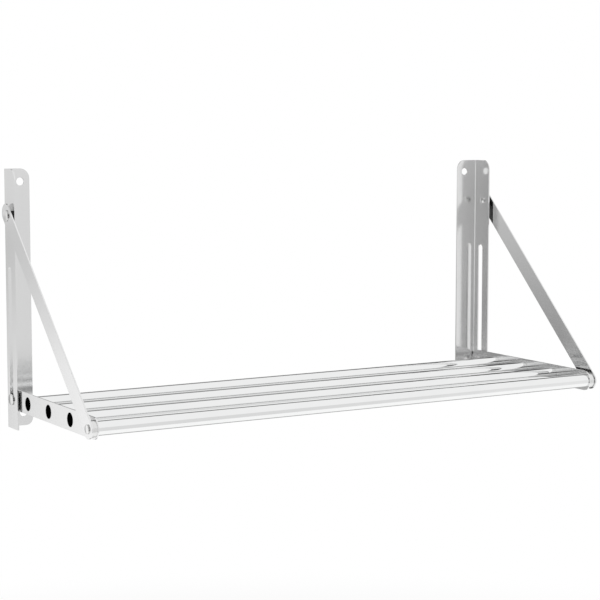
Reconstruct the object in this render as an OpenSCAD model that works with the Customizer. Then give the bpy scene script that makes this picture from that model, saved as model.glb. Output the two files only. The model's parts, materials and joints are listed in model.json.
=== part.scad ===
// Wall mounted fold down drying rack, in polished stainless steel sheet and tube.
//
// Frame: X to the right along the wall, Y into the wall, Z up. The wall is the plane Y = 0 and the
// rack stands out towards -Y. The origin is the middle of the four wall holes.
// Points in a side view are written [distance in front of the wall, height].

/* [Rack] */
// Overall width over the outer faces of the two wall brackets
rack_w = 800; // [400:10:1200]
// Distance from the rear pivot to the front pivot of the folding frame
frame_reach = 268.5; // [256.5:2:284.5]
// Distance from the rear pivot to the rear tube
first_tube = 49.5; // [45:0.5:55]
// Distance from one inner tube to the next
tube_pitch = 71.5; // [66:0.5:76]

/* [Sheet metal] */
// Thickness of the bracket sheet
bracket_t = 2; // [1.5:0.25:2.25]
// Thickness of the end plates
plate_t = 2; // [1.5:0.25:3]
// Thickness of the struts
strut_t = 2; // [1.5:0.25:3]
// Inner radius of the bend in the brackets
bend_r = 1; // [0.5:0.25:2]

/* [Wall brackets] */
// Height of a bracket
bracket_h = 358.8; // [340:0.4:420]
// Width of the flange that lies on the wall
wall_flange_w = 37; // [36:1:48]
// Width of the flange that stands out from the wall
side_flange_w = 37.5; // [36:0.5:48]
// Radius of the rounded upper corners of both flanges
upper_corner_r = 14; // [8:1:15]
// Radius of the rounded lower corner of the wall flange
lower_corner_r = 10; // [4:1:12]
// Diameter of the wall holes
wall_hole_d = 11; // [6:0.5:12]
// Distance of the wall holes from the bracket's ends
wall_hole_end = 18; // [14:1:24]
// Distance of the wall holes from the bracket's outer face
wall_hole_in = 23.2; // [20:0.2:26]

/* [Pivots] */
// Diameter of the pivot screws and pins
pin_d = 6; // [4:0.5:7]
// Distance of the slot and the rear pivot from the wall
slot_line = 17; // [17:0.5:20]
// Width of the slot
slot_w = 11; // [10.5:0.5:13]
// Height of the rear pivot at rest above the bracket's lower end
rear_pivot_h = 40.5; // [36:0.5:46]
// Height of the slot's upper end above the bracket's lower end
slot_top_h = 225; // [215:1:240]
// Height of the strut's pivot above the bracket's lower end
top_pivot_h = 295; // [285:1:305]
// Distance of the strut's pivot from the wall
top_pivot_out = 22.5; // [20:0.5:24]

/* [Struts and end plates] */
// Width of the struts
strut_w = 25.5; // [20:0.5:26]
// Distance of the centre of a strut's upper round end from its pivot
strut_over = 5.5; // [0.5:0.5:8]
// Height of the end plates
plate_h = 29; // [27:0.5:29]
// Distance that the end plates reach past the front pivots
plate_over = 11; // [11:0.5:14]
// Gap between a bracket and the end plate inside it
plate_gap = 1.4; // [1.4:0.2:4]
// Gap between a bracket and the strut outside it
strut_gap = 3.6; // [3.4:0.2:6]

/* [Tubes and plugs] */
// Outer diameter of the four tubes
tube_d = 19; // [16:0.5:20]
// Wall of the tubes
tube_wall = 1.2; // [1:0.1:2]
// Length of a plug's stem inside its tube
plug_stem = 14; // [8:1:20]
// Length of the threaded inserts in the front tube
insert_l = 20; // [14:1:30]

/* [Screws, nuts and spacers] */
// Diameter of the heads of the top and rear pivot screws
big_head_d = 15.5; // [12:0.5:17]
// Height of those heads
big_head_h = 2; // [1.8:0.1:2.4]
// Diameter of the heads of the front screws
front_head_d = 12; // [10:0.5:14]
// Height of those heads
front_head_h = 2; // [1.8:0.1:3]
// Straight edge below the dome of every head
head_rim = 1.5; // [0.5:0.1:1.6]
// Diameter of the round cap nuts
nut_d = 10; // [9:0.5:12]
// Height of the cap nuts
nut_h = 3.4; // [3.2:0.2:6]
// Straight edge below the dome of the cap nuts
nut_rim = 2.2; // [1.6:0.2:2.6]
// Depth of the thread in the cap nuts
nut_thread = 2.2; // [1.6:0.2:2.4]
// Diameter of the spacers below the top of the struts
top_spacer_d = 14; // [10:0.5:18]
// Diameter of the spacers at the front pivots
front_spacer_d = 22; // [12:0.5:22]
// Diameter of the collar of the slide bushes
bush_collar_d = 18; // [16:0.5:22]

/* [Clearances] */
// Radial clearance of a pin in the piece that turns on it
hinge_gap = 0.05; // [0.02:0.01:0.1]
// Radial clearance of a screw, plug or insert that doesn't turn
fit_gap = 0.05; // [0.02:0.01:0.1]
// Clearance between flat faces that turn on each other
face_gap = 0.1; // [0.05:0.05:0.3]
// Clearance of the slide bushes and pin heads along the slotted flange
slide_gap = 0.3; // [0.2:0.05:0.4]
// Clearance at the front pivots between a strut and what the folding frame carries
open_gap = 0.3; // [0.2:0.05:0.5]

/* [Hidden] */
$fn = 96;
// Overrun of a cutting tool past the face that it cuts
cut = 1;

LEFT = -1;
RIGHT = 1;
steel = "#c9cbcc";
bright_steel = "#dadcdd";
black = "#161616";

// Planes across the right-hand side, from the inside out
flange_out = rack_w / 2;
flange_in = flange_out - bracket_t;
plate_out = flange_in - plate_gap;
plate_in = plate_out - plate_t;
strut_in = flange_out + strut_gap;
strut_out = strut_in + strut_t;

// Pivots and tube places in the side view
bracket_bottom = -bracket_h / 2;
rear_pivot = [slot_line, bracket_bottom + rear_pivot_h];
front_pivot = rear_pivot + [frame_reach, 0];
top_pivot = [top_pivot_out, bracket_bottom + top_pivot_h];
slot_top = [slot_line, bracket_bottom + slot_top_h - slot_w / 2];
strut_run = front_pivot - top_pivot;
strut_end = top_pivot - strut_over * strut_run / norm(strut_run);
plate_end = front_pivot - [plate_h / 2 - plate_over, 0];
function tube_place(i) = rear_pivot + [first_tube + i * tube_pitch, 0];
tube_bore_d = tube_d - 2 * tube_wall;

// Puts a right-hand piece on its side of the rack
module on_side(side) {
    if (side == LEFT) mirror([1, 0, 0]) children();
    else children();
}

// Extrudes a side view outwards from x
module side_view(x, len) {
    translate([x, 0, 0]) rotate([90, 0, 90]) linear_extrude(len) mirror([1, 0, 0]) children();
}

// Round bar along X between two planes, at a point of the side view
module rod(x_from, x_to, d, at) {
    translate([x_from, -at[0], at[1]]) rotate([0, 90, 0]) cylinder(h = x_to - x_from, d = d);
}

// Flat bar with two round ends, drawn between the centres of its ends
module bar_outline(from, to, w) {
    run = to - from;
    translate(from) rotate(atan2(run[1], run[0])) {
        translate([0, -w / 2]) square([norm(run), w]);
        circle(d = w);
        translate([norm(run), 0]) circle(d = w);
    }
}

// What is cut off a square corner to round it; out points away from the piece
module corner_cut(corner, out, r) {
    translate(corner) difference() {
        square(2 * r, center = true);
        translate(-out * r) circle(r);
    }
}

// Low dome on a short straight edge, standing on the plane Z = 0
module dome(d, h, rim) {
    rise = h - rim;
    ball_r = (pow(d / 2, 2) + pow(rise, 2)) / (2 * rise);
    intersection() {
        cylinder(h = h, d = d);
        translate([0, 0, h - ball_r]) sphere(ball_r);
    }
}

// Plan view of the bent bracket on the right
module angle_outline() {
    outer_r = bend_r + bracket_t;
    translate([flange_in, -side_flange_w]) square([bracket_t, side_flange_w - outer_r]);
    translate([flange_out - wall_flange_w, -bracket_t]) square([wall_flange_w - outer_r, bracket_t]);
    translate([flange_out - outer_r, -outer_r]) intersection() {
        difference() {
            circle(outer_r);
            circle(bend_r);
        }
        square(outer_r);
    }
}

// Bent wall bracket with its slot, its strut hole and its two wall holes
module bracket(side) {
    inner_edge = flange_out - wall_flange_w;
    through = bracket_t + 2 * cut;
    color(steel) on_side(side) difference() {
        translate([0, 0, bracket_bottom]) linear_extrude(bracket_h) angle_outline();
        side_view(flange_in - cut, through) {
            bar_outline(rear_pivot, slot_top, slot_w);
            corner_cut([side_flange_w, bracket_h / 2], [1, 1], upper_corner_r);
        }
        rod(flange_in - cut, flange_out + cut, pin_d + 2 * fit_gap, top_pivot);
        for (up = [-1, 1]) {
            translate([flange_out - wall_hole_in, cut, up * (bracket_h / 2 - wall_hole_end)])
                rotate([90, 0, 0]) cylinder(h = through, d = wall_hole_d);
            translate([0, cut, 0]) rotate([90, 0, 0]) linear_extrude(through)
                corner_cut([inner_edge, up * bracket_h / 2], [-1, up],
                    up > 0 ? upper_corner_r : lower_corner_r);
        }
    }
}

// Flat strut from the bracket's upper pivot to the front pivot
module strut(side) {
    color(bright_steel) on_side(side) difference() {
        side_view(strut_in, strut_t) bar_outline(strut_end, front_pivot, strut_w);
        rod(strut_in - cut, strut_out + cut, pin_d + 2 * hinge_gap, top_pivot);
        rod(strut_in - cut, strut_out + cut, pin_d + 2 * fit_gap, front_pivot);
    }
}

// End plate of the folding frame: a pin hole at each end and a seat for each inner tube's plug
module end_plate(side) {
    color(bright_steel) on_side(side) difference() {
        side_view(plate_in, plate_t) bar_outline(rear_pivot, plate_end, plate_h);
        for (at = [rear_pivot, front_pivot])
            rod(plate_in - cut, plate_out + cut, pin_d + 2 * fit_gap, at);
        for (i = [0 : 2])
            rod(plate_in - cut, plate_out + cut, tube_d + 2 * fit_gap, tube_place(i));
    }
}

// Tube from end plate to end plate
module tube(at) {
    color(bright_steel) difference() {
        rod(-plate_in, plate_in, tube_d, at);
        rod(-plate_in - cut, plate_in + cut, tube_bore_d, at);
    }
}

// Black plug: a disc in the end plate's hole and a hollow stem inside the tube
module tube_plug(side, i) {
    stem_d = tube_bore_d - 2 * fit_gap;
    color(black) on_side(side) difference() {
        union() {
            rod(plate_in, plate_out, tube_d, tube_place(i));
            rod(plate_in - plug_stem, plate_in, stem_d, tube_place(i));
        }
        rod(plate_in - plug_stem - cut, plate_in, stem_d - 2 * plate_t, tube_place(i));
    }
}

// Screw from the outside through the strut, its spacer and the bracket into the cap nut
module top_screw(side) {
    under_head = strut_out + face_gap;
    color(bright_steel) on_side(side) union() {
        rod(flange_in - nut_thread + face_gap, under_head, pin_d, top_pivot);
        translate([under_head, -top_pivot[0], top_pivot[1]]) rotate([0, 90, 0])
            dome(big_head_d, big_head_h, head_rim);
    }
}

// Black plastic ring that keeps the strut clear of the bracket
module top_spacer(side) {
    color(black) on_side(side) difference() {
        rod(flange_out, strut_in - face_gap, top_spacer_d, top_pivot);
        rod(flange_out - cut, strut_in + cut, pin_d + 2 * fit_gap, top_pivot);
    }
}

// Round cap nut on the inner side of a sheet whose inner face is at x
module cap_nut(side, x, at) {
    color(bright_steel) on_side(side) difference() {
        translate([x, -at[0], at[1]]) rotate([0, -90, 0]) dome(nut_d, nut_h, nut_rim);
        rod(x - nut_thread, x + cut, pin_d + 2 * fit_gap, at);
    }
}

// Rear pin: a low head outside the slotted flange, a shank through the bush and the end plate
module rear_pin(side) {
    under_head = flange_out + slide_gap;
    color(bright_steel) on_side(side) union() {
        rod(plate_in - nut_thread + face_gap, under_head, pin_d, rear_pivot);
        translate([under_head, -rear_pivot[0], rear_pivot[1]]) rotate([0, 90, 0])
            dome(big_head_d, big_head_h, head_rim);
    }
}

// Plastic bush that slides in the slot and in which the rear pin turns
module slide_bush(side) {
    sleeve_d = slot_w - 2 * slide_gap;
    color(black) on_side(side) difference() {
        union() {
            rod(plate_out + face_gap, flange_in - slide_gap, bush_collar_d, rear_pivot);
            rod(flange_in - slide_gap, flange_out + slide_gap - face_gap, sleeve_d, rear_pivot);
        }
        rod(plate_out, flange_out + cut, pin_d + 2 * hinge_gap, rear_pivot);
    }
}

// Spacer on the end plate that reaches out to the strut
module front_spacer(side) {
    color(bright_steel) on_side(side) difference() {
        rod(plate_out, strut_in - open_gap, front_spacer_d, front_pivot);
        rod(plate_out - cut, strut_in + cut, pin_d + 2 * fit_gap, front_pivot);
    }
}

// Stud from the insert through the end plate and the spacer
module front_stud(side) {
    color(bright_steel) on_side(side)
        rod(plate_in - insert_l / 2, strut_in - open_gap, pin_d, front_pivot);
}

// Threaded insert in the end of the front tube
module front_insert(side) {
    color(steel) on_side(side) difference() {
        rod(plate_in - insert_l, plate_in, tube_bore_d - 2 * fit_gap, front_pivot);
        rod(plate_in - insert_l - cut, plate_in + cut, pin_d + 2 * fit_gap, front_pivot);
    }
}

// Front screw, as far as the strut holds it: the head and the shank in the strut's hole
module front_screw(side) {
    color(bright_steel) on_side(side) union() {
        rod(strut_in, strut_out, pin_d, front_pivot);
        translate([strut_out, -front_pivot[0], front_pivot[1]]) rotate([0, 90, 0])
            dome(front_head_d, front_head_h, head_rim);
    }
}

bracket(LEFT);  // left_bracket
bracket(RIGHT);  // right_bracket
strut(LEFT);  // left_strut
strut(RIGHT);  // right_strut
end_plate(LEFT);  // left_end_plate
end_plate(RIGHT);  // right_end_plate
tube(tube_place(0));  // rear_tube
tube(tube_place(1));  // middle_tube
tube(tube_place(2));  // inner_front_tube
tube(front_pivot);  // front_tube
tube_plug(LEFT, 0);  // left_rear_tube_plug
tube_plug(LEFT, 1);  // left_middle_tube_plug
tube_plug(LEFT, 2);  // left_inner_front_tube_plug
tube_plug(RIGHT, 0);  // right_rear_tube_plug
tube_plug(RIGHT, 1);  // right_middle_tube_plug
tube_plug(RIGHT, 2);  // right_inner_front_tube_plug
top_screw(LEFT);  // left_top_screw
top_screw(RIGHT);  // right_top_screw
top_spacer(LEFT);  // left_top_spacer
top_spacer(RIGHT);  // right_top_spacer
cap_nut(LEFT, flange_in, top_pivot);  // left_top_nut
cap_nut(RIGHT, flange_in, top_pivot);  // right_top_nut
rear_pin(LEFT);  // left_rear_pin
rear_pin(RIGHT);  // right_rear_pin
slide_bush(LEFT);  // left_slide_bush
slide_bush(RIGHT);  // right_slide_bush
cap_nut(LEFT, plate_in, rear_pivot);  // left_rear_nut
cap_nut(RIGHT, plate_in, rear_pivot);  // right_rear_nut
front_spacer(LEFT);  // left_front_spacer
front_spacer(RIGHT);  // right_front_spacer
front_stud(LEFT);  // left_front_stud
front_stud(RIGHT);  // right_front_stud
front_insert(LEFT);  // left_front_insert
front_insert(RIGHT);  // right_front_insert
front_screw(LEFT);  // left_front_screw
front_screw(RIGHT);  // right_front_screw
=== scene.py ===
"""Wall mounted fold down drying rack: its polished steel pieces, their finishes and the studio.

Frame: X to the right along the wall, Y into the wall, Z up, in metres. Every piece that comes in a
pair is modelled on the right-hand side first and mirrored to the left.
"""

import json
import math

import bmesh
import bpy
from bpy.props import FloatProperty, FloatVectorProperty, IntProperty, PointerProperty
from mathutils import Matrix, Vector


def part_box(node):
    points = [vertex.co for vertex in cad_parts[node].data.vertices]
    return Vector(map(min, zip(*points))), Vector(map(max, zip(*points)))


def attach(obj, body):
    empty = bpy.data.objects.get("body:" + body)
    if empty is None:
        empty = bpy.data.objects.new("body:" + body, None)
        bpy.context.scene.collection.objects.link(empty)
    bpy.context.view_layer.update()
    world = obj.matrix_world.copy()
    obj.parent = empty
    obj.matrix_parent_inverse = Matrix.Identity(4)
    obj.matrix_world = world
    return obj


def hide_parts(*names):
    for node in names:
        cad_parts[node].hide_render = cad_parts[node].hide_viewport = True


bl_info = {
    "name": "Fold down drying rack",
    "version": (1, 0, 0),
    "blender": (4, 5, 0),
    "location": "3D View > Sidebar > Drying rack",
    "description": "Models a wall mounted fold down drying rack and its studio",
    "category": "Add Mesh",
}

MM = 0.001

# How finely bends, corners, edges and domes are divided, and the cards of the studio.
BEND_STEPS = 12
CORNER_STEPS = 16
EDGE_STEPS = 3
DOME_RINGS = 10
CARD_CUTS = 63

CLOSE = 1e-6  # points nearer than this are one point, in metres
NEAR = 1e-5  # slack for picking the points that lie on a border, in metres
FACING = 0.99  # a face whose normal has this much of a direction looks that way
FLAT_ANGLE = math.radians(35)  # faces that meet at less than this are one smooth surface

# Sizes of the polishing lines and of the haze between them, and width and height of the ripple
# that makes mirrored edges swim, all in millimetres.
LINE_LENGTH, LINE_WIDTH = 160, 2.5
BELT_WIDTH, BELT_ROUND = 2.0, 60
HAZE_SIZE = 45
SHEET_RIPPLE = (70, 0.02)
TUBE_RIPPLE = (160, 0.01)

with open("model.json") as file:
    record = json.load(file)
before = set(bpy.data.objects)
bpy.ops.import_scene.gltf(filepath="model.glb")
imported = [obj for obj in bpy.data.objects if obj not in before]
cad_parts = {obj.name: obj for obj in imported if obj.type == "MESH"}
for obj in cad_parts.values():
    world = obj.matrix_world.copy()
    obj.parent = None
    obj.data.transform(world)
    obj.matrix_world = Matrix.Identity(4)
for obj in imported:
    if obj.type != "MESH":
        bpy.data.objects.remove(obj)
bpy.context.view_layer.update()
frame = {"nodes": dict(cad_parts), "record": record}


def middle(node):
    """Centre of a node's box."""
    low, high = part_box(node)
    return (low + high) / 2


def reach(node, axis):
    """Lowest and highest coordinate of a node along X, Y or Z (0, 1 or 2)."""
    low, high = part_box(node)
    return low[axis], high[axis]


def span(node, axis):
    """Size of a node along X, Y or Z (0, 1 or 2)."""
    low, high = reach(node, axis)
    return high - low


def linear(hex_colour):
    """Linear RGB of an sRGB hex colour."""
    parts = [int(hex_colour[i : i + 2], 16) / 255 for i in (1, 3, 5)]
    return tuple(c / 12.92 if c <= 0.04045 else ((c + 0.055) / 1.055) ** 2.4 for c in parts)


def mount(name):
    """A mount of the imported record."""
    return next(m for m in frame["record"]["mounts"] if m["name"] == name)


WALL_SCREWS = mount("wall_screws")["dims"]
TOP_PIVOT = middle("right_top_screw").yz
REAR_PIVOT = middle("right_rear_pin").yz
FRONT_PIVOT = middle("right_front_screw").yz
TUBES = ("rear", "middle", "inner_front")


# --- What a user may change ------------------------------------------------------------------


def length(name, description, millimetres, least, most):
    """A length property, given in millimetres."""
    return FloatProperty(
        name=name,
        description=description,
        default=millimetres * MM,
        min=least * MM,
        max=most * MM,
        precision=5,
        subtype="DISTANCE",
        unit="LENGTH",
    )


def colour(name, description, hex_colour):
    """A colour property, given as an sRGB hex value."""
    return FloatVectorProperty(
        name=name,
        description=description,
        default=linear(hex_colour),
        min=0.0,
        max=1.0,
        size=3,
        subtype="COLOR",
    )


def share(name, description, value, most=1.0):
    """A plain number from nothing to its most."""
    return FloatProperty(
        name=name, description=description, default=value, min=0.0, max=most, subtype="FACTOR"
    )


class RackSizes(bpy.types.PropertyGroup):
    """Sizes that the boxes of the nodes don't give"""

    sheet: length("Sheet", "Thickness of the sheet", span("right_strut", 0) / MM, 1.5, 3)
    sheet_edge: length("Sheet edge", "Radius of the polished sheet edges", 0.15, 0.1, 0.6)
    tube_edge: length("Tube edge", "Radius of the edges of the tube ends", 0.2, 0.05, 0.4)
    turned_edge: length("Turned edge", "Radius of the edges of turned pieces", 0.25, 0.05, 0.4)
    bend: length("Bend", "Inner radius of the bend in the brackets", 1, 0.5, 2)
    corner: length("Corner", "Radius of the upper flange corners", 14, 8, 15)
    low_corner: length("Lower corner", "Radius of the wall flange's lower corner", 10, 4, 12)
    slot_width: length("Slot width", "Width of the slots", 11, 10.5, 13)
    slot_length: length("Slot length", "Distance of the slot's end centres", 179, 160, 190)
    tube_wall: length("Tube wall", "Wall of the tubes", 1.2, 1, 2)
    plug_wall: length("Plug wall", "Wall of the plug stems", 2, 1, 3)
    plug_stem: length("Plug stem", "Diameter of the plug stems", 16.5, 12, 17)
    pin: length("Pin", "Diameter of the shanks", 6, 4, 7)
    bore_gap: length("Bore gap", "Radial clearance of a bore", 0.05, 0.02, 0.1)
    head: length("Head", "Height of the screw and pin heads", 2, 1.8, 3)
    head_rim: length("Head rim", "Straight edge below a head's dome", 1.5, 0.5, 1.6)
    nut_rim: length("Nut rim", "Straight edge below a nut's dome", 2.2, 1.6, 2.6)
    nut_thread: length("Nut thread", "Depth of the open thread in the nuts", 2.0, 1.4, 2.2)
    bush_sleeve: length("Bush sleeve", "Diameter of the bush in the slot", 10.4, 10, 12.5)
    bush_collar: length("Bush collar", "Thickness of the bush's collar", 1, 0.8, 4)
    round_sides: IntProperty(
        name="Round sides", description="Sides of a round piece", default=96, min=48, max=192
    )


class RackFinishes(bpy.types.PropertyGroup):
    """Colours and polish"""

    sheet: colour("Sheet", "Polished sheet steel", "#E8E8E8")
    sheet_haze: colour("Sheet haze", "Polished sheet steel where it is hazed", "#E3E3E3")
    tube: colour("Tube", "Polished tube", "#F0F0F0")
    tube_haze: colour("Tube haze", "Polished tube where it is hazed", "#EAEBEB")
    hardware: colour("Hardware", "Turned steel", "#E4E4E3")
    hardware_groove: colour("Hardware groove", "Turned steel between two tool marks", "#DADADA")
    plug: colour("Plug", "Black plastic of the plugs", "#010101")
    plug_worn: colour("Plug, rubbed", "Black plastic of the plugs where it is rubbed", "#020202")
    bush: colour("Bush", "Black plastic of the bushes", "#0C0C0C")
    bush_worn: colour("Bush, rubbed", "Black plastic of the bushes where it slides", "#141414")
    polish: share("Polish", "Roughness of the polished sheet", 0.14)
    tube_polish: share("Tube polish", "Roughness of the polished tube", 0.045)


class RackStudio(bpy.types.PropertyGroup):
    """Studio and camera"""

    fill: share("Fill", "Level of the light from all round", 0.45, 2.0)
    ceiling: share("Ceiling", "Level of the soft light overhead", 1.0, 2.0)
    floor_drop: length("Floor drop", "Height of the rack's centre above the floor", 1200, 300, 2000)
    eye: FloatVectorProperty(
        name="Eye",
        description="Place of the camera",
        default=(-1.3200, -2.3524, 0.2639),
        subtype="TRANSLATION",
        unit="LENGTH",
    )
    turn: FloatProperty(
        name="Turn",
        description="How far the camera looks to the right of the wall's square",
        default=math.radians(30.641),
        subtype="ANGLE",
        unit="ROTATION",
    )
    tilt: FloatProperty(
        name="Tilt",
        description="How far the camera looks down",
        default=math.radians(6.090),
        subtype="ANGLE",
        unit="ROTATION",
    )
    lens: FloatProperty(
        name="Lens", description="Focal length in millimetres", default=108.68, min=20, max=300
    )


# --- Modelling by hand -----------------------------------------------------------------------


def deselect_all():
    """Leaves no object selected."""
    bpy.ops.object.select_all(action="DESELECT")


def make_active(piece):
    """Selects one object alone and makes it active."""
    deselect_all()
    piece.select_set(True)
    bpy.context.view_layer.objects.active = piece


def settle(piece, name):
    """Names a new primitive and puts its place into its mesh."""
    piece.name = piece.data.name = name
    make_active(piece)
    bpy.ops.object.transform_apply(location=True, rotation=True, scale=True)
    return piece


def round_bar(name, x_from, x_to, at, diameter, lean=0.0, caps="NGON"):
    """Cylinder along X between two planes, at a (Y, Z) point, with a vertex at its leaning top."""
    deselect_all()
    turn = Matrix.Rotation(lean, 3, "X") @ Matrix.Rotation(math.pi / 2, 3, "Y")
    bpy.ops.mesh.primitive_cylinder_add(
        vertices=sizes().round_sides,
        radius=diameter / 2,
        depth=abs(x_to - x_from),
        end_fill_type=caps,
        location=((x_from + x_to) / 2, at[0], at[1]),
        rotation=turn.to_euler(),
    )
    return settle(bpy.context.active_object, name)


def pick(kind, test):
    """In edit mode, selects only the faces, edges or vertices that pass a test."""
    bpy.ops.mesh.select_mode(type=kind)
    bpy.ops.mesh.select_all(action="DESELECT")
    data = bpy.context.edit_object.data
    mesh = bmesh.from_edit_mesh(data)
    mesh.normal_update()
    elements = {"FACE": mesh.faces, "EDGE": mesh.edges, "VERT": mesh.verts}[kind]
    found = [element for element in elements if test(element)]
    if not found:
        raise RuntimeError(f"nothing to select on {data.name}")
    for element in found:
        element.select_set(True)
    bmesh.update_edit_mesh(data)


def pick_cap(side):
    """In edit mode, selects the outermost flat cap towards +X (1) or -X (-1)."""
    mesh = bmesh.from_edit_mesh(bpy.context.edit_object.data)
    mesh.normal_update()
    far = max(side * f.calc_center_median().x for f in mesh.faces) - CLOSE
    pick("FACE", lambda f: side * f.normal.x > FACING and side * f.calc_center_median().x > far)


def extrude(by):
    """In edit mode, extrudes what is selected by a vector."""
    bpy.ops.mesh.extrude_region_move(TRANSFORM_OT_translate={"value": tuple(by)})


def bar_with_round_ends(name, x_from, x_to, start, end, width):
    """Flat bar between two (Y, Z) points: a disc that is halved and drawn out to its far end."""
    run = Vector((0, end[0] - start[0], end[1] - start[1]))
    lean = math.atan2(run.z, run.y)
    bar = round_bar(name, x_from, x_to, start, width, lean)
    bpy.ops.object.mode_set(mode="EDIT")
    bpy.ops.mesh.select_all(action="SELECT")
    centre = Vector(((x_from + x_to) / 2, start[0], start[1]))
    bpy.ops.mesh.bisect(plane_co=centre, plane_no=run.normalized(), threshold=CLOSE)
    pick("FACE", lambda f: (f.calc_center_median() - centre).dot(run) > CLOSE)
    extrude(run)
    bpy.ops.mesh.select_all(action="SELECT")
    bpy.ops.mesh.remove_doubles(threshold=CLOSE)
    bpy.ops.mesh.normals_make_consistent(inside=False)
    bpy.ops.object.mode_set(mode="OBJECT")
    return bar


def apply_modifier(piece, kind, **settings):
    """Adds a modifier with its settings and applies it."""
    make_active(piece)
    modifier = piece.modifiers.new(kind.title(), kind)
    for name, value in settings.items():
        setattr(modifier, name, value)
    bpy.ops.object.modifier_apply(modifier=modifier.name)


def cut_away(piece, cutter):
    """Cuts one shape out of a piece and removes the cutter."""
    apply_modifier(piece, "BOOLEAN", operation="DIFFERENCE", object=cutter, solver="EXACT")
    make_active(cutter)
    bpy.ops.object.delete()


def draw_dome(side, radius, rise):
    """In edit mode, raises the cap at one end into a low dome, ring by ring.

    The last ring leaves a small flat top, a little narrower than one ring.
    """
    ball = (radius**2 + rise**2) / (2 * rise)
    flat_top = 0.8
    pick_cap(side)
    last_r, last_h = radius, 0.0
    for k in range(1, DOME_RINGS + 1):
        r = radius * (1 - k / (DOME_RINGS + flat_top))
        h = math.sqrt(ball**2 - r**2) - (ball - rise)
        bpy.ops.mesh.inset(thickness=last_r - r, depth=h - last_h)
        last_r, last_h = r, h


def step_out(side, radius_from, radius_to, by):
    """In edit mode, insets the cap at one end and draws it out, or in if the step is negative."""
    pick_cap(side)
    bpy.ops.mesh.inset(thickness=radius_from - radius_to, depth=0)
    extrude((side * by, 0, 0))


def open_bore(outer_r, bore_r):
    """In edit mode, opens a bore from cap to cap. The caps at -X and +X have the outer radii."""
    for side in (-1, 1):
        pick_cap(side)
        bpy.ops.mesh.inset(thickness=outer_r[side > 0] - bore_r, depth=0)
        bpy.ops.mesh.delete(type="ONLY_FACE")
    pick("EDGE", lambda e: e.is_boundary)
    bpy.ops.mesh.bridge_edge_loops()
    bpy.ops.mesh.select_all(action="SELECT")
    bpy.ops.mesh.normals_make_consistent(inside=False)


def finish_edges(piece, radius):
    """Rounds the sharp edges and shades the piece so that its flat faces stay true mirrors."""
    apply_modifier(
        piece,
        "BEVEL",
        width=radius,
        segments=EDGE_STEPS,
        limit_method="ANGLE",
        angle_limit=FLAT_ANGLE,
        miter_outer="MITER_ARC",
    )
    make_active(piece)
    bpy.ops.object.shade_smooth_by_angle(angle=FLAT_ANGLE)
    apply_modifier(piece, "WEIGHTED_NORMAL", mode="FACE_AREA", weight=50, keep_sharp=True)


def mirrored(piece, name):
    """A copy on the left-hand side, with its own mesh."""
    make_active(piece)
    bpy.ops.object.duplicate(linked=False)
    copy = bpy.context.active_object
    copy.scale.x = -1
    settle(copy, name)
    bpy.ops.object.mode_set(mode="EDIT")
    bpy.ops.mesh.select_all(action="SELECT")
    bpy.ops.mesh.remove_doubles(threshold=CLOSE)
    bpy.ops.mesh.normals_make_consistent(inside=False)
    bpy.ops.object.mode_set(mode="OBJECT")
    return copy


def moved_copy(piece, name, by):
    """A copy at another place, with its own mesh."""
    make_active(piece)
    bpy.ops.object.duplicate(linked=False)
    copy = bpy.context.active_object
    bpy.ops.transform.translate(value=tuple(by))
    return settle(copy, name)


def hand_over(piece, body, slot, material, *nodes):
    """Gives a finished piece its finish and its body, and hides the nodes that it stands for."""
    piece.data.materials.clear()
    piece.data.materials.append(material)
    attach(piece, body)
    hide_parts(*nodes)


def hand_over_pair(right, edge, body, slot, material, node):
    """Mirrors a right-hand piece, finishes both and hands them over. A * stands for the side."""
    pair = {"right": right, "left": mirrored(right, right.name.replace("right", "left"))}
    for side, piece in pair.items():
        finish_edges(piece, edge)
        hand_over(piece, body.replace("*", side), slot, material, node.replace("*", side))


def sizes():
    """The rack's sizes."""
    return bpy.context.scene.rack_sizes


def finishes():
    """The rack's finishes."""
    return bpy.context.scene.rack_finishes


# --- Finishes --------------------------------------------------------------------------------


def add_node(tree, kind, inputs=None, **settings):
    """Adds a node, sets it, and fills or links its inputs."""
    node = tree.nodes.new(kind)
    for name, value in settings.items():
        setattr(node, name, value)
    for socket, value in (inputs or {}).items():
        if isinstance(value, bpy.types.NodeSocket):
            tree.links.new(value, node.inputs[socket])
        else:
            node.inputs[socket].default_value = value
    return node


def new_material(name, **shader_values):
    """A new material with its tree and its shader, whose constant values are set by name."""
    material = bpy.data.materials.new(name)
    material.use_nodes = True
    tree = material.node_tree
    shader = tree.nodes["Principled BSDF"]
    for socket, value in shader_values.items():
        shader.inputs[socket.replace("_", " ")].default_value = value
    return material, tree, shader


def rgba(linear_colour):
    """A colour with full alpha."""
    return (*linear_colour, 1.0)


def per_metre(millimetres):
    """Texture scale that gives a pattern of that size."""
    return 1 / (millimetres * MM)


def drawn_grain(tree, coordinates, turned, size):
    """Fine lines along one direction: a noise that is much longer than it is wide."""
    placed = add_node(
        tree,
        "ShaderNodeMapping",
        {"Vector": coordinates, "Rotation": turned, "Scale": tuple(per_metre(s) for s in size)},
    )
    return add_node(
        tree,
        "ShaderNodeTexNoise",
        {"Vector": placed.outputs["Vector"], "Scale": 1.0, "Detail": 3.0, "Roughness": 0.6},
    )


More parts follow.
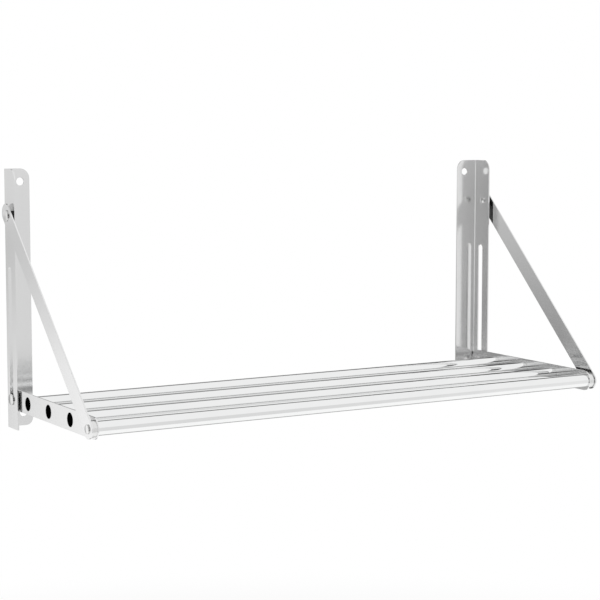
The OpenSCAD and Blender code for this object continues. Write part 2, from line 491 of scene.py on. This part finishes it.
def polished_steel(name, bright, hazed, roughness, turned, grain, ripple):
    """Bright polished stainless steel.

    The sheet is rolled, ground and buffed with mops until it mirrors. What is left to see is a soft
    haze where the buffing was lighter, faint lines along the direction of the mop, and a slow
    ripple of the sheet that makes mirrored edges swim a little. The grain is the size of the lines
    along X, Y and Z once they are turned, and the ripple has a width and a height.
    """
    material, tree, shader = new_material(name, Metallic=1.0)
    place = add_node(tree, "ShaderNodeTexCoord").outputs["Object"]
    haze = add_node(
        tree,
        "ShaderNodeTexNoise",
        {"Vector": place, "Scale": per_metre(HAZE_SIZE), "Detail": 3.0, "Roughness": 0.55},
    )
    lines = drawn_grain(tree, place, turned, grain)
    tone = add_node(
        tree,
        "ShaderNodeMix",
        {"Factor": haze.outputs["Fac"], "A": rgba(bright), "B": rgba(hazed)},
        data_type="RGBA",
    )
    mixed = add_node(
        tree,
        "ShaderNodeMath",
        {0: haze.outputs["Fac"], 1: lines.outputs["Fac"]},
        operation="MULTIPLY",
    )
    spread = add_node(
        tree,
        "ShaderNodeMapRange",
        {
            "Value": mixed.outputs[0],
            "From Min": 0.1,
            "From Max": 0.45,
            "To Min": roughness * 0.75,
            "To Max": roughness * 1.35,
        },
    )
    wave = add_node(
        tree,
        "ShaderNodeTexNoise",
        {"Vector": place, "Scale": per_metre(ripple[0]), "Detail": 1.0, "Roughness": 0.4},
    )
    sway = add_node(
        tree,
        "ShaderNodeBump",
        {"Height": wave.outputs["Fac"], "Strength": 1.0, "Distance": ripple[1] * MM},
    )
    scratch = add_node(
        tree,
        "ShaderNodeBump",
        {
            "Height": lines.outputs["Fac"],
            "Strength": 0.15,
            "Distance": 0.004 * MM,
            "Normal": sway.outputs["Normal"],
        },
    )
    tree.links.new(tone.outputs["Result"], shader.inputs["Base Color"])
    tree.links.new(spread.outputs["Result"], shader.inputs["Roughness"])
    tree.links.new(scratch.outputs["Normal"], shader.inputs["Normal"])
    return material


def material_once(name, build):
    """The material of that name, built the first time that it is asked for."""
    return bpy.data.materials.get(name) or build(name)


def sheet_steel(name, turned, grain):
    """Polished sheet, with its lines turned and sized for one kind of piece."""
    look = finishes()
    return material_once(
        name,
        lambda name: polished_steel(
            name, look.sheet, look.sheet_haze, look.polish, turned, grain, SHEET_RIPPLE
        ),
    )


def bracket_steel():
    """Polished sheet with its lines along the height of the brackets."""
    grain = (LINE_WIDTH, LINE_WIDTH, LINE_LENGTH)
    return sheet_steel("buffed_stainless_sheet_upright", (0, 0, 0), grain)


def strut_steel():
    """Polished sheet with its lines along the slanting struts."""
    run = FRONT_PIVOT - TOP_PIVOT
    lean = math.atan2(run[1], run[0])
    grain = (LINE_WIDTH, LINE_LENGTH, LINE_WIDTH)
    return sheet_steel("buffed_stainless_sheet_slanting", (-lean, 0, 0), grain)


def plate_steel():
    """Polished sheet with its lines along the end plates."""
    grain = (LINE_WIDTH, LINE_LENGTH, LINE_WIDTH)
    return sheet_steel("buffed_stainless_sheet_level", (0, 0, 0), grain)


def tube_steel():
    """Mirror polished tube: the belt runs round it, so its faint lines are rings."""
    look = finishes()
    grain = (BELT_WIDTH, BELT_ROUND, BELT_ROUND)
    return material_once(
        "mirror_polished_stainless_tube",
        lambda name: polished_steel(
            name, look.tube, look.tube_haze, look.tube_polish, (0, 0, 0), grain, TUBE_RIPPLE
        ),
    )


def turned_steel():
    """Turned stainless steel of screws, pins, nuts and spacers.

    The tool leaves fine rings round the axis, which stretch highlights into short arcs. They are
    drawn 0.5 mm apart, coarser than the real 0.1 mm, so that they show at all.
    """
    look = finishes()

    def build(name):
        material, tree, shader = new_material(name, Metallic=1.0)
        turned = add_node(tree, "ShaderNodeAttribute", attribute_name="turned")
        rings = add_node(
            tree,
            "ShaderNodeTexNoise",
            {"Vector": turned.outputs["Vector"], "Scale": per_metre(0.5), "Detail": 2.0},
        )
        tone = add_node(
            tree,
            "ShaderNodeMix",
            {
                "Factor": rings.outputs["Fac"],
                "A": rgba(look.hardware),
                "B": rgba(look.hardware_groove),
            },
            data_type="RGBA",
        )
        spread = add_node(
            tree,
            "ShaderNodeMapRange",
            {"Value": rings.outputs["Fac"], "To Min": 0.1, "To Max": 0.2},
        )
        groove = add_node(
            tree,
            "ShaderNodeBump",
            {"Height": rings.outputs["Fac"], "Strength": 0.3, "Distance": 0.01 * MM},
        )
        tree.links.new(tone.outputs["Result"], shader.inputs["Base Color"])
        tree.links.new(spread.outputs["Result"], shader.inputs["Roughness"])
        tree.links.new(groove.outputs["Normal"], shader.inputs["Normal"])
        return material

    return material_once("turned_stainless_steel", build)


def moulded_plastic(name, fresh, worn, roughness, grain, **shader_values):
    """Moulded plastic: the spark eroded mould gives it a fine grain that breaks up its gloss."""
    material, tree, shader = new_material(name, **shader_values)
    place = add_node(tree, "ShaderNodeTexCoord").outputs["Object"]
    cloud = add_node(
        tree, "ShaderNodeTexNoise", {"Vector": place, "Scale": per_metre(6), "Detail": 3.0}
    )
    fine = add_node(
        tree, "ShaderNodeTexNoise", {"Vector": place, "Scale": per_metre(grain), "Detail": 2.0}
    )
    tone = add_node(
        tree,
        "ShaderNodeMix",
        {"Factor": cloud.outputs["Fac"], "A": rgba(fresh), "B": rgba(worn)},
        data_type="RGBA",
    )
    spread = add_node(
        tree,
        "ShaderNodeMapRange",
        {"Value": fine.outputs["Fac"], "To Min": roughness - 0.08, "To Max": roughness + 0.08},
    )
    skin = add_node(
        tree,
        "ShaderNodeBump",
        {"Height": fine.outputs["Fac"], "Strength": 0.4, "Distance": 0.03 * MM},
    )
    tree.links.new(tone.outputs["Result"], shader.inputs["Base Color"])
    tree.links.new(spread.outputs["Result"], shader.inputs["Roughness"])
    tree.links.new(skin.outputs["Normal"], shader.inputs["Normal"])
    return material


def plug_plastic():
    """Black polypropylene of the tube plugs, matt and very dark."""
    look = finishes()
    return material_once(
        "black_moulded_polypropylene",
        lambda name: moulded_plastic(
            name, look.plug, look.plug_worn, roughness=0.6, grain=0.6, Specular_IOR_Level=0.0
        ),
    )


def bush_plastic():
    """Black acetal of the bushes and top spacers: hard and a little glossy where it is rubbed."""
    look = finishes()
    return material_once(
        "black_turned_acetal",
        lambda name: moulded_plastic(
            name, look.bush, look.bush_worn, roughness=0.4, grain=0.8, Specular_IOR_Level=0.3
        ),
    )


def mark_turned(piece, at):
    """Stores how far each point is from the turning axis and along it, for the tool marks."""
    attribute = piece.data.attributes.new("turned", "FLOAT_VECTOR", "POINT")
    for vertex, item in zip(piece.data.vertices, attribute.data):
        item.vector = ((vertex.co.yz - at).length, vertex.co.x, 0.0)


# --- The pieces ------------------------------------------------------------------------------


class RACK_OT_brackets(bpy.types.Operator):
    """Bend two wall brackets from sheet, with their slots and holes"""

    bl_idname = "rack.brackets"
    bl_label = "Wall brackets"

    def execute(self, context):
        s = sizes()
        low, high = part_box("right_bracket")
        half, bend_mid = s.sheet / 2, s.bend + s.sheet / 2
        deselect_all()
        bpy.ops.mesh.primitive_plane_add(size=1, rotation=(math.pi / 2, 0, 0))
        bracket = bpy.context.active_object
        bracket.scale = (high.x - half - bend_mid - low.x, high.z - low.z, 1)
        bracket.location = ((high.x - half - bend_mid + low.x) / 2, high.y - half, 0)
        settle(bracket, "wall_bracket_right")

        bpy.ops.object.mode_set(mode="EDIT")
        edge_x = high.x - half - bend_mid
        pick("EDGE", lambda e: all(v.co.x > edge_x - CLOSE for v in e.verts))
        bpy.ops.mesh.spin(
            steps=BEND_STEPS,
            angle=math.pi / 2,
            center=(edge_x, high.y - half - bend_mid, 0),
            axis=(0, 0, 1),
        )
        front = high.y - half - bend_mid
        pick("EDGE", lambda e: all(v.co.x > edge_x and v.co.y < front + NEAR for v in e.verts))
        extrude((0, low.y - front, 0))
        bpy.ops.mesh.select_all(action="SELECT")
        bpy.ops.mesh.remove_doubles(threshold=CLOSE)
        pick("VERT", lambda v: v.co.z > 0 and (v.co.x < low.x + NEAR or v.co.y < low.y + NEAR))
        bpy.ops.mesh.bevel(affect="VERTICES", offset=s.corner, segments=CORNER_STEPS)
        pick("VERT", lambda v: v.co.z < 0 and v.co.x < low.x + NEAR)
        bpy.ops.mesh.bevel(affect="VERTICES", offset=s.low_corner, segments=CORNER_STEPS)
        bpy.ops.mesh.select_all(action="SELECT")
        bpy.ops.mesh.normals_make_consistent(inside=False)
        bpy.ops.object.mode_set(mode="OBJECT")
        apply_modifier(
            bracket, "SOLIDIFY", thickness=s.sheet, offset=0, use_even_offset=True
        )

        over = MM
        x_from, x_to = high.x - s.sheet - over, high.x + over
        slot_end = (REAR_PIVOT[0], REAR_PIVOT[1] + s.slot_length)
        cut_away(
            bracket,
            bar_with_round_ends("cutter", x_from, x_to, REAR_PIVOT, slot_end, s.slot_width),
        )
        cut_away(
            bracket, round_bar("cutter", x_from, x_to, TOP_PIVOT, s.pin + 2 * s.bore_gap)
        )
        for up in (-1, 1):
            deselect_all()
            bpy.ops.mesh.primitive_cylinder_add(
                vertices=s.round_sides,
                radius=WALL_SCREWS["hole_r_mm"] * MM,
                depth=s.sheet + 2 * over,
                location=(
                    WALL_SCREWS["spacing_x_mm"] * MM / 2,
                    high.y - half,
                    up * WALL_SCREWS["spacing_y_mm"] * MM / 2,
                ),
                rotation=(math.pi / 2, 0, 0),
            )
            cut_away(bracket, settle(bpy.context.active_object, "cutter"))
        hand_over_pair(
            bracket,
            s.sheet_edge,
            "wall_brackets",
            "polished_sheet",
            bracket_steel(),
            "*_bracket",
        )
        return {"FINISHED"}


class RACK_OT_struts(bpy.types.Operator):
    """Make the two flat struts with round ends"""

    bl_idname = "rack.struts"
    bl_label = "Struts"

    def execute(self, context):
        s = sizes()
        low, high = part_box("right_strut")
        radius = FRONT_PIVOT[1] - low.z
        top = (high.y - radius, high.z - radius)
        strut = bar_with_round_ends("strut_right", low.x, high.x, top, FRONT_PIVOT, 2 * radius)
        for at in (TOP_PIVOT, FRONT_PIVOT):
            bore = s.pin + 2 * s.bore_gap
            cut_away(strut, round_bar("cutter", low.x - MM, high.x + MM, at, bore))
        hand_over_pair(
            strut, s.sheet_edge, "*_strut_arm", "polished_sheet", strut_steel(), "*_strut"
        )
        return {"FINISHED"}


class RACK_OT_end_plates(bpy.types.Operator):
    """Make the two end plates with their plug seats and pin holes"""

    bl_idname = "rack.end_plates"
    bl_label = "End plates"

    def execute(self, context):
        s = sizes()
        low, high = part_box("right_end_plate")
        radius = (high.z - low.z) / 2
        front = (low.y + radius, FRONT_PIVOT[1])
        plate = bar_with_round_ends(
            "end_plate_right", low.x, high.x, REAR_PIVOT, front, 2 * radius
        )
        holes = [(REAR_PIVOT, s.pin), (FRONT_PIVOT, s.pin)]
        holes += [(middle(f"{t}_tube").yz, span(f"{t}_tube", 2)) for t in TUBES]
        for at, diameter in holes:
            bore = diameter + 2 * s.bore_gap
            cut_away(plate, round_bar("cutter", low.x - MM, high.x + MM, at, bore))
        hand_over_pair(
            plate, s.sheet_edge, "shelf_frame", "polished_sheet", plate_steel(), "*_end_plate"
        )
        return {"FINISHED"}


class RACK_OT_tubes(bpy.types.Operator):
    """Make the four tubes"""

    bl_idname = "rack.tubes"
    bl_label = "Tubes"

    def execute(self, context):
        s = sizes()
        low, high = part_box("rear_tube")
        at = middle("rear_tube").yz
        first = round_bar("tube_rear", low.x, high.x, at, high.z - low.z, caps="NOTHING")
        bpy.ops.object.mode_set(mode="EDIT")
        bpy.ops.mesh.select_all(action="SELECT")
        bpy.ops.mesh.normals_make_consistent(inside=False)
        bpy.ops.object.mode_set(mode="OBJECT")
        apply_modifier(
            first, "SOLIDIFY", thickness=s.tube_wall, offset=-1, use_even_offset=True
        )
        tubes = {"rear_tube": first}
        for name in ("middle", "inner_front", "front"):
            step = middle(f"{name}_tube") - middle("rear_tube")
            tubes[f"{name}_tube"] = moved_copy(first, f"tube_{name}", step)
        for node, tube in tubes.items():
            finish_edges(tube, s.tube_edge)
            hand_over(tube, "shelf_frame", "polished_tube", tube_steel(), node)
        return {"FINISHED"}


class RACK_OT_plugs(bpy.types.Operator):
    """Make the black plugs in the ends of the three inner tubes"""

    bl_idname = "rack.plugs"
    bl_label = "Tube plugs"

    def execute(self, context):
        s = sizes()
        low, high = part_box("right_rear_tube_plug")
        plate_in = reach("right_end_plate", 0)[0]
        at = middle("right_rear_tube_plug").yz
        radius, stem = (high.z - low.z) / 2, s.plug_stem / 2
        first = round_bar("plug_rear_right", plate_in, high.x, at, 2 * radius)
        bpy.ops.object.mode_set(mode="EDIT")
        step_out(-1, radius, stem, plate_in - low.x)
        step_out(-1, stem, stem - s.plug_wall, low.x - plate_in)
        bpy.ops.object.mode_set(mode="OBJECT")
        plugs = {"rear": first}
        for name in ("middle", "inner_front"):
            step = middle(f"{name}_tube") - middle("rear_tube")
            plugs[name] = moved_copy(first, f"plug_{name}_right", step)
        for name, plug in plugs.items():
            hand_over_pair(
                plug,
                s.turned_edge,
                "shelf_frame",
                "black_plug",
                plug_plastic(),
                f"*_{name}_tube_plug",
            )
        return {"FINISHED"}


def domed_pin(name, node):
    """Pin or screw: a low domed head with a straight rim, and a shank drawn out of its back."""
    s = sizes()
    low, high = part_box(node)
    at, radius = middle(node).yz, (high.z - low.z) / 2
    under = high.x - s.head
    pin = round_bar(name, under, under + s.head_rim, at, 2 * radius)
    bpy.ops.object.mode_set(mode="EDIT")
    draw_dome(1, radius, s.head - s.head_rim)
    step_out(-1, radius, s.pin / 2, under - low.x)
    bpy.ops.object.mode_set(mode="OBJECT")
    mark_turned(pin, at)
    return pin


class RACK_OT_screws(bpy.types.Operator):
    """Make the pivot screws at the top and front and the pins at the rear"""

    bl_idname = "rack.screws"
    bl_label = "Screws and pins"

    def execute(self, context):
        for node, body in (
            ("top_screw", "wall_brackets"),
            ("rear_pin", "shelf_frame"),
            ("front_screw", "*_strut_arm"),
        ):
            hand_over_pair(
                domed_pin(f"{node}_right", f"right_{node}"),
                sizes().turned_edge,
                body,
                "steel_hardware",
                turned_steel(),
                f"*_{node}",
            )
        return {"FINISHED"}


class RACK_OT_nuts(bpy.types.Operator):
    """Make the round cap nuts inside the brackets and the end plates"""

    bl_idname = "rack.nuts"
    bl_label = "Cap nuts"

    def execute(self, context):
        s = sizes()
        for node, body in (("top_nut", "wall_brackets"), ("rear_nut", "shelf_frame")):
            low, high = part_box(f"right_{node}")
            at, radius = middle(f"right_{node}").yz, (high.z - low.z) / 2
            nut = round_bar(f"{node}_right", high.x - s.nut_rim, high.x, at, 2 * radius)
            bpy.ops.object.mode_set(mode="EDIT")
            draw_dome(-1, radius, high.x - low.x - s.nut_rim)
            step_out(1, radius, s.pin / 2 + s.bore_gap, -s.nut_thread)
            bpy.ops.object.mode_set(mode="OBJECT")
            mark_turned(nut, at)
            hand_over_pair(
                nut, s.turned_edge, body, "steel_hardware", turned_steel(), f"*_{node}"
            )
        return {"FINISHED"}


class RACK_OT_spacers(bpy.types.Operator):
    """Make the spacers under the struts and at the front pivots"""

    bl_idname = "rack.spacers"
    bl_label = "Spacers"

    def execute(self, context):
        s = sizes()
        for node, body, slot, material in (
            ("top_spacer", "wall_brackets", "black_acetal", bush_plastic()),
            ("front_spacer", "shelf_frame", "steel_hardware", turned_steel()),
        ):
            low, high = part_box(f"right_{node}")
            at, radius = middle(f"right_{node}").yz, (high.z - low.z) / 2
            spacer = round_bar(f"{node}_right", low.x, high.x, at, 2 * radius)
            bpy.ops.object.mode_set(mode="EDIT")
            open_bore((radius, radius), s.pin / 2 + s.bore_gap)
            bpy.ops.object.mode_set(mode="OBJECT")
            mark_turned(spacer, at)
            hand_over_pair(spacer, s.turned_edge, body, slot, material, f"*_{node}")
        return {"FINISHED"}


class RACK_OT_bushes(bpy.types.Operator):
    """Make the plastic bushes that slide in the slots"""

    bl_idname = "rack.bushes"
    bl_label = "Slide bushes"

    def execute(self, context):
        s = sizes()
        low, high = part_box("right_slide_bush")
        at, radius = middle("right_slide_bush").yz, (high.z - low.z) / 2
        bush = round_bar("slide_bush_right", low.x, low.x + s.bush_collar, at, 2 * radius)
        bpy.ops.object.mode_set(mode="EDIT")
        sleeve = s.bush_sleeve / 2
        step_out(1, radius, sleeve, high.x - low.x - s.bush_collar)
        open_bore((radius, sleeve), s.pin / 2 + s.bore_gap)
        bpy.ops.object.mode_set(mode="OBJECT")
        hand_over_pair(
            bush, s.turned_edge, "slide_bushes", "black_acetal", bush_plastic(), "*_slide_bush"
        )
        return {"FINISHED"}


class RACK_OT_fixings(bpy.types.Operator):
    """Finish the studs and inserts of the front pivots, which keep their plain shape"""

    bl_idname = "rack.fixings"
    bl_label = "Front studs and inserts"

    def execute(self, context):
        for side in ("left", "right"):
            for kind in ("stud", "insert"):
                node = frame["nodes"][f"{side}_front_{kind}"]
                node.data.materials.clear()
                node.data.materials.append(bracket_steel())
        return {"FINISHED"}


# --- The studio ------------------------------------------------------------------------------


def seen_directly(tree):
    """1 for what the camera sees directly, mirrored or through glass, and 0 for plain light."""
    path = add_node(tree, "ShaderNodeLightPath")
    mirrored_too = add_node(
        tree,
        "ShaderNodeMath",
        {0: path.outputs["Is Camera Ray"], 1: path.outputs["Is Glossy Ray"]},
        operation="MAXIMUM",
    )
    return add_node(
        tree,
        "ShaderNodeMath",
        {0: mirrored_too.outputs[0], 1: path.outputs["Is Transmission Ray"]},
        operation="MAXIMUM",
    ).outputs[0]


def white_world(fill):
    """White surroundings, and an even fill light that is weaker than they look."""
    world = bpy.data.worlds.new("studio")
    world.use_nodes = True
    tree = world.node_tree
    tree.nodes.clear()
    level = add_node(
        tree,
        "ShaderNodeMapRange",
        {"Value": seen_directly(tree), "To Min": fill, "To Max": 1.0},
    )
    surroundings = add_node(
        tree,
        "ShaderNodeBackground",
        {"Color": (1, 1, 1, 1), "Strength": level.outputs["Result"]},
    )
    add_node(tree, "ShaderNodeOutputWorld", {"Surface": surroundings.outputs[0]})
    bpy.context.scene.world = world


def white_floor(z, half_width=60, fade_start=1.6, fade_end=3.2):
    """White floor that keeps the shadow under the rack and fades into the surroundings."""
    deselect_all()
    bpy.ops.mesh.primitive_plane_add(size=2 * half_width, location=(0, 0, z))
    floor = settle(bpy.context.active_object, "floor")
    material = bpy.data.materials.new("white_paper_floor")
    material.use_nodes = True
    tree = material.node_tree
    tree.nodes.clear()
    place = add_node(tree, "ShaderNodeTexCoord")
    away = add_node(
        tree, "ShaderNodeVectorMath", {0: place.outputs["Object"]}, operation="LENGTH"
    )
    far = add_node(
        tree,
        "ShaderNodeMapRange",
        {"Value": away.outputs["Value"], "From Min": fade_start, "From Max": fade_end},
        interpolation_type="SMOOTHSTEP",
    )
    shown = add_node(
        tree,
        "ShaderNodeMath",
        {0: far.outputs["Result"], 1: seen_directly(tree)},
        operation="MULTIPLY",
    )
    paper = add_node(tree, "ShaderNodeBsdfDiffuse", {"Color": (1, 1, 1, 1)})
    glow = add_node(tree, "ShaderNodeEmission", {"Color": (1, 1, 1, 1), "Strength": 1.0})
    mix = add_node(
        tree,
        "ShaderNodeMixShader",
        {0: shown.outputs[0], 1: paper.outputs[0], 2: glow.outputs[0]},
    )
    add_node(tree, "ShaderNodeOutputMaterial", {"Surface": mix.outputs[0]})
    floor.data.materials.append(material)


def fade(value, start, end):
    """0 before start, 1 after end, smooth in between."""
    t = min(1.0, max(0.0, (value - start) / (end - start)))
    return t * t * (3 - 2 * t)


def towards(level, other, value, start, end):
    """A light level that turns into another one while a value goes from start to end."""
    return level + (other - level) * fade(value, start, end)


def even(level):
    """The same light level at every place of a card."""
    return lambda place: level


def front_level(place):
    """Light level of the front card: grey at its left end, palest beside it, then pale."""
    left = towards(0.55, 0.28, -place.z, 0.25, 0.35)
    level = towards(left, 1.0, place.x, -0.64, -0.54)
    level = towards(level, 0.81, place.x, 0.0, 0.15)
    return towards(level, 0.91, place.x, 0.6, 1.6)


def back_level(place):
    """Light level of the back card: a pale left end, and a dark field that deepens to the right.

    The pale end brightens outwards and is dark above the rack. The dark field is palest just above
    the tubes, darker below them, and black at its right end.
    """
    pale = towards(0.66, 0.9, -place.z, 0.0, 0.32)
    pale = towards(pale, 0.78, place.z, 0.03, 0.07)
    pale += max(0.0, -0.81 - place.x)
    pale = towards(pale, 0.1, place.z, 0.34, 0.42)
    field = towards(0.6, 0.34, -place.z, 0.0, 0.32)
    field = towards(field, 0.92, place.z, 0.03, 0.09)
    right = towards(0.28, 0.43, -place.z, 0.36, 0.44)
    field = towards(field, right, place.x, -0.2, 0.2)
    field = towards(field, 0.02, place.x, 1.0, 1.13)
    return towards(pale, field, place.x, -0.78, -0.68)


def upright_card(name, level, y, across, height):
    """A card that stands square to the view from the front, between two X and two Z."""
    (left, right), (low, high) = across, height
    corners = ((left, y, low), (right, y, low), (right, y, high), (left, y, high))
    grey_card(name, level, corners)


def level_card(name, level, z, across, depth):
    """A card that lies level below the rack, between two X and two Y."""
    (left, right), (near, far) = across, depth
    corners = ((left, near, z), (right, near, z), (right, far, z), (left, far, z))
    grey_card(name, level, corners)


def side_card(name, level, x, depth, height):
    """A card that stands to the left of the rack, between two Y and two Z."""
    (near, far), (low, high) = depth, height
    corners = ((x, near, low), (x, far, low), (x, far, high), (x, near, high))
    grey_card(name, level, corners)


def grey_card(name, level, corners):
    """A card that only polished metal mirrors, with its light level at each point."""
    deselect_all()
    bpy.ops.mesh.primitive_plane_add(size=1)
    card = settle(bpy.context.active_object, name)
    bpy.ops.object.mode_set(mode="EDIT")
    bpy.ops.mesh.subdivide(number_cuts=CARD_CUTS)
    bpy.ops.object.mode_set(mode="OBJECT")
    a, b, c, d = (Vector(p) for p in corners)
    levels = card.data.attributes.new("level", "FLOAT", "POINT")
    for vertex, item in zip(card.data.vertices, levels.data):
        u, v = vertex.co.x + 0.5, vertex.co.y + 0.5
        vertex.co = (a * (1 - u) + b * u) * (1 - v) + (d * (1 - u) + c * u) * v
        item.value = level(vertex.co)
    material = bpy.data.materials.new(name)
    material.use_nodes = True
    tree = material.node_tree
    tree.nodes.clear()
    painted = add_node(tree, "ShaderNodeAttribute", attribute_name="level")
    glow = add_node(
        tree,
        "ShaderNodeEmission",
        {"Color": (1, 1, 1, 1), "Strength": painted.outputs["Fac"]},
    )
    add_node(tree, "ShaderNodeOutputMaterial", {"Surface": glow.outputs[0]})
    card.data.materials.append(material)
    card.visible_camera = False
    card.visible_diffuse = False
    card.visible_shadow = False
    card.visible_transmission = False


def place_cards():
    """Sets the cards round the rack, because steel takes its tones from what it mirrors."""
    front, back, left = -1.5, 1.0, -1.5
    ahead = front + 0.01
    upright_card("front_card", front_level, front, across=(-1.2, 2.4), height=(-1.15, 0.16))
    upright_card("back_card", back_level, back, across=(-1.3, 1.8), height=(-0.8, 1.4))
    # Two dark strips just before the front card: one at its left end and one above it.
    upright_card("dark_card", even(0.1), ahead, across=(-1.2, -0.83), height=(-1.15, 1.2))
    upright_card("high_dark_card", even(0.1), ahead, across=(-0.83, -0.45), height=(0.4, 1.05))
    side_card("side_card", even(0.2), left, depth=(-1.45, 1.0), height=(0.15, 2.0))
    side_card("low_side_card", even(0.05), left, depth=(-0.8, -0.4), height=(-0.6, -0.15))
    # Pale paper under the front of the rack and grey paper under its back.
    level_card("bounce_card", even(1.08), z=-0.75, across=(-1.0, 2.0), depth=(-1.0, 0.0))
    level_card("low_back_card", even(0.45), z=-0.8, across=(-0.6, 2.0), depth=(0.02, 1.0))


def soft_lamp(name, level, place, width, depth):
    """Soft box that shines straight down, and whose face looks as bright as its level."""
    data = bpy.data.lights.new(name, "AREA")
    data.shape = "RECTANGLE"
    data.size, data.size_y = width, depth
    data.energy = level * math.pi * width * depth
    lamp = bpy.data.objects.new(name, data)
    bpy.context.scene.collection.objects.link(lamp)
    lamp.location = place
    lamp.visible_glossy = False


def set_camera(studio):
    """The camera, at its eye and turned and tilted from the square view of the wall."""
    data = bpy.data.cameras.new("camera")
    data.lens = studio.lens
    data.sensor_width = 36
    data.clip_start, data.clip_end = 0.05, 200
    camera = bpy.data.objects.new("camera", data)
    bpy.context.scene.collection.objects.link(camera)
    camera.location = studio.eye
    camera.rotation_euler = (math.pi / 2 - studio.tilt, 0, -studio.turn)
    return camera


class RACK_OT_stage(bpy.types.Operator):
    """Set up the studio: floor, soft light, cards for the polished steel, and the camera"""

    bl_idname = "rack.stage"
    bl_label = "Studio"

    def execute(self, context):
        studio = context.scene.rack_studio
        context.scene.view_settings.view_transform = "Standard"
        white_world(studio.fill)
        white_floor(-studio.floor_drop)
        over_rack = Vector((0, -0.6, 2.4))
        soft_lamp("ceiling", studio.ceiling, over_rack, width=6, depth=5)
        place_cards()
        context.scene.camera = set_camera(studio)
        return {"FINISHED"}


class RACK_PT_panel(bpy.types.Panel):
    """Sizes, finishes and operators of the drying rack"""

    bl_idname = "RACK_PT_panel"
    bl_label = "Drying rack"
    bl_space_type = "VIEW_3D"
    bl_region_type = "UI"
    bl_category = "Drying rack"

    def draw(self, context):
        layout = self.layout
        for operator in OPERATORS:
            layout.operator(operator.bl_idname)
        for title, group in (
            ("Sizes", context.scene.rack_sizes),
            ("Finishes", context.scene.rack_finishes),
            ("Studio", context.scene.rack_studio),
        ):
            box = layout.box()
            box.label(text=title)
            for name in group.__annotations__:
                box.prop(group, name)


OPERATORS = (
    RACK_OT_brackets,
    RACK_OT_struts,
    RACK_OT_end_plates,
    RACK_OT_tubes,
    RACK_OT_plugs,
    RACK_OT_screws,
    RACK_OT_nuts,
    RACK_OT_spacers,
    RACK_OT_bushes,
    RACK_OT_fixings,
    RACK_OT_stage,
)
CLASSES = (RackSizes, RackFinishes, RackStudio, *OPERATORS, RACK_PT_panel)


def register():
    """Registers the classes and the rack's settings on the scene."""
    for cls in CLASSES:
        bpy.utils.register_class(cls)
    bpy.types.Scene.rack_sizes = PointerProperty(type=RackSizes)
    bpy.types.Scene.rack_finishes = PointerProperty(type=RackFinishes)
    bpy.types.Scene.rack_studio = PointerProperty(type=RackStudio)


def unregister():
    """Takes the settings and the classes away again."""
    del bpy.types.Scene.rack_studio
    del bpy.types.Scene.rack_finishes
    del bpy.types.Scene.rack_sizes
    for cls in reversed(CLASSES):
        bpy.utils.unregister_class(cls)


def main():
    """Builds the rack and its studio."""
    register()
    bpy.ops.rack.brackets()
    bpy.ops.rack.struts()
    bpy.ops.rack.end_plates()
    bpy.ops.rack.tubes()
    bpy.ops.rack.plugs()
    bpy.ops.rack.screws()
    bpy.ops.rack.nuts()
    bpy.ops.rack.spacers()
    bpy.ops.rack.bushes()
    bpy.ops.rack.fixings()
    bpy.ops.rack.stage()


if __name__ == "__main__":
    main()
